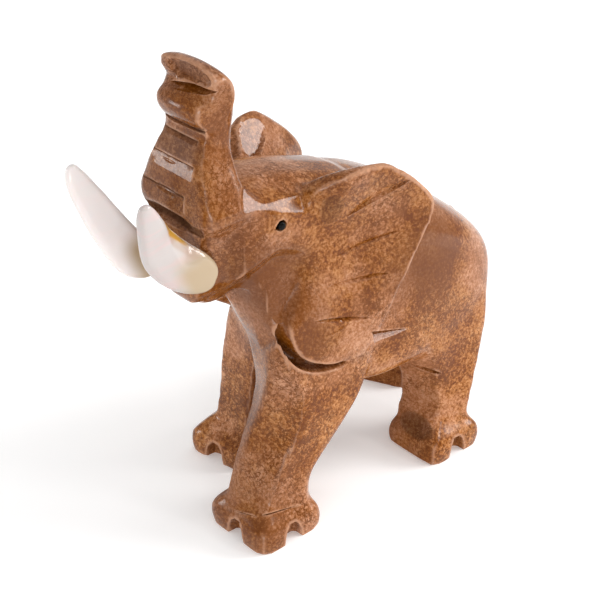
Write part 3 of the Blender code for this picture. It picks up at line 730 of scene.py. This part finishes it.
cells = flow.node("TexVoronoi", {"feature": "DISTANCE_TO_EDGE"}, {
    "Vector": bent.shaken(1.1, 1.6), "Scale": 1.0 / WEB_SIZE})
web = 1.0 - cells.step(0.02, 0.12)
line_noise = at.shaken(1.8, 1.6).noise(SQUIGGLE_SIZE, 3.0, 0.6)
squiggle = 1.0 - abs(line_noise - 0.5).step(0.010, 0.045)
blot = at.moved((9.0, 2.0, 4.0)).shaken(1.0, 0.8).noise(BLOT_SIZE, 3.0, 0.65).step(0.57, 0.68)
colour = colour.blend(vein_and_shade_brown, web * crowd * 0.50)
colour = colour.blend(vein_and_shade_brown, squiggle * (crowd * 0.70 + head * 0.30 + 0.25))
colour = colour.blend(vein_and_shade_brown, blot * (crowd * 0.60 + head * 0.25 + 0.15))

speck = at.noise(SPECK_SIZE, 2.0, 0.6)
# A painted highlight along the outward edges.
colour = colour.blend(painted_edge_highlight, arris.step(0.35, 1.1) * 0.55)
# Painted shade in the inward edges and creases.
colour = colour.blend(vein_and_shade_brown, (1.0 - arris.step(-1.1, -0.3)) * 0.50)
# Painted shade on the unpolished inner sides of the legs and under the belly.
colour = colour.blend(vein_and_shade_brown, raw_and_painted_shade * 0.45)
# Painted shade in the grooves and hollows, which are also made duller.
colour = colour.blend(painted_shade_brown, stain * 0.66)

files = flow.node("Mapping", None, {
    "Vector": at, "Rotation": (0.5, 0.6, 0.0), "Scale": (2.2, 2.2, 0.22)})
scratches = files.noise(1.0, 2.0, 0.6)
height = at.noise(1.3, 2.0, 0.5) * 0.008 + at.noise(7.0, 1.0) * 0.04 + raw_and_painted_shade * scratches * 0.12
feed(
    tree, shader, Base_Color=colour, Normal=height.relief(),
    Roughness=POLISH + speck * 0.08 + squiggle * 0.05 + raw_and_painted_shade * RAW_STONE + stain * SHADED_HOLLOW_ROUGHNESS,
)
shader.inputs["Specular IOR Level"].default_value = STONE_GLOSS
dress(elephant, marble)
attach(elephant, "root")
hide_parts("marble_elephant")

# Tusks
# Two flat blades sawn from thick pearl shell, turned up at the elbow, polished and glued into shallow seats.
TUSK_GRAIN = 0.32 * MM              # size of the cells of its fine skin
TUSK_TURN, TUSK_FLATTEN_ROUNDS, TUSK_FIT_ROUNDS = 0.45, 16, 10
FACET_START = (12.2, -46.2, 83.9)   # upper end of the arris where the left tusk's root is ground thinner
FACET_ALONG = (0.0, 0.387, -0.922)  # down the arris
FACET_FALL = 0.30                   # how much thinner the shell gets for each mm from the arris
TOP_EDGE_FALL = 0.45                # how fast the shell's top edge leaves the arris
RIGHT_LOWER = 1.5                   # how much lower the right tusk sits
RIGHT_PAINTED_LIGHT = 0.75                  # share of paler shell in it: painted light, as it gets less light than the left one
FACET_WIDE = 3.5                    # from here on the shell gets no thinner
FACET_END = (10.0, 14.0)            # where down the arris the thinner part runs out

# Colours at the root: a golden edge along the top of the facet, a brown stripe below it, and cream shell
# round the seat. Each pair goes from nothing to all, and one whose name has END goes from all to nothing.
GOLD_BAND, GOLD_END = (-1.5, -0.9), (8.5, 10.5)
STRIPE_BAND, STRIPE_START, STRIPE_END = (-3.2, -2.2), (3.0, 5.0), (11.0, 14.0)
CREAM_DOWN, CREAM_WIDE = (8.0, 15.0), (-4.0, 0.5)
ON_FACET, FACES_OUT = (0.1, 0.5), (0.0, 0.5)
GLOW_SHARE, GLOW_DEPTH = 0.25, 1.2 * MM   # how much light the shell lets in, and how far
GLOW_COLOURS = (1.0, 0.8, 0.6)

pearl, tree, shader, at = new_finish("pearl_shell")
flow = Flow(tree)
layers = flow.node("Mapping", None, {"Vector": at, "Rotation": (0.9, 0.3, 0.2), "Scale": (1.0, 0.18, 0.9)})
sheen = layers.shaken(4.0, 3.0).noise(3.0, 3.0, 0.6)
milk = (0.500, 0.452, 0.434, 1.0)
rose = (0.545, 0.436, 0.422, 1.0)
cream = (0.420, 0.315, 0.195, 1.0)
gold = (0.480, 0.250, 0.035, 1.0)
brown = (0.400, 0.270, 0.190, 1.0)
# Paler shell for painted light on the right tusk.
paler = (0.860, 0.800, 0.780, 1.0)
colour = sheen.step(0.42, 0.60).mix(milk, rose)
# Painted light: the right tusk is made paler.
colour = colour.blend(paler, flow.kept("paler"))
colour = colour.blend(cream, flow.kept("root") * 0.95)
colour = colour.blend(brown, flow.kept("stripe") * 0.55)
colour = colour.blend(gold, flow.kept("gold_edge") * layers.noise(2.0, 2.0).step(0.15, 0.5))
ripple = at.noise(1.5, 2.0) * 0.02 + at.noise(6.0, 1.0) * 0.06
feed(tree, shader, Base_Color=colour, Normal=ripple.relief(), Roughness=0.12 + sheen * 0.10)
shader.inputs["Subsurface Weight"].default_value = GLOW_SHARE
shader.inputs["Subsurface Radius"].default_value = GLOW_COLOURS
shader.inputs["Subsurface Scale"].default_value = GLOW_DEPTH

for node, name in (("left_tusk", "left_shell_tusk"), ("right_tusk", "right_shell_tusk")):
    tusk = copy_of(node, name)
    reskin(tusk, TUSK_GRAIN)
    skin = Skin(tusk)
    skin.flatten(TUSK_TURN, TUSK_FLATTEN_ROUNDS, TUSK_FIT_ROUNDS)
    side = 1 if node == "left_tusk" else -1
    start = np.array(FACET_START) - (0.0, 0.0, 0.0 if side > 0 else RIGHT_LOWER)
    along = np.array(FACET_ALONG)
    beside = np.array((0.0, -along[2], along[1]))
    off = skin.places / MM - start
    down, wide = off @ along, off @ beside
    outer = smoothstep(skin.directions()[:, 0] * side, *FACES_OUT)
    thinner = np.clip(wide, 0.0, FACET_WIDE) * FACET_FALL * (1.0 - smoothstep(down, *FACET_END)) * outer
    skin.places[:, 0] -= side * thinner * MM
    on_facet = smoothstep(wide, *ON_FACET) * outer
    from_top = wide - TOP_EDGE_FALL * down
    golden = smoothstep(from_top, *GOLD_BAND) * (1.0 - smoothstep(down, *GOLD_END))
    stripe = smoothstep(from_top, *STRIPE_BAND)
    stripe = stripe * (1.0 - smoothstep(down, *STRIPE_END)) * smoothstep(down, *STRIPE_START)
    skin.paint("root", smoothstep(down, *CREAM_DOWN) * smoothstep(wide, *CREAM_WIDE))
    skin.paint("gold_edge", on_facet * golden)
    # Painted light on the right tusk only.
    skin.paint("paler", np.full(len(down), 0.0 if side > 0 else RIGHT_PAINTED_LIGHT))
    skin.paint("stripe", on_facet * np.maximum(stripe - golden, 0.0))
    skin.keep()
    dress(tusk, pearl)
    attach(tusk, "root")
    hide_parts(node)

# Eyes
# Short pegs of polished black inlay with rounded edges, glued into drilled holes.
ROUNDING = 0.12 * MM       # of the peg's edges
INLAY_GLOSS = 0.10

jet, tree, shader, at = new_finish("black_inlay")
smoke = at.noise(0.8, 2.0)
colour = smoke.mix((0.002, 0.002, 0.002, 1.0), (0.006, 0.005, 0.004, 1.0))
feed(tree, shader, Base_Color=colour, Roughness=0.05 + smoke * 0.04)
shader.inputs["Specular IOR Level"].default_value = INLAY_GLOSS

for node, name in (("left_eye", "left_black_eye"), ("right_eye", "right_black_eye")):
    eye = copy_of(node, name)
    rounding = eye.modifiers.new("rounding", "BEVEL")
    rounding.width, rounding.segments, rounding.limit_method = ROUNDING, 2, "ANGLE"
    rounding.angle_limit = math.radians(20.0)
    apply_modifiers(eye)
    dress(eye, jet)
    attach(eye, "root")
    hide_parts(node)
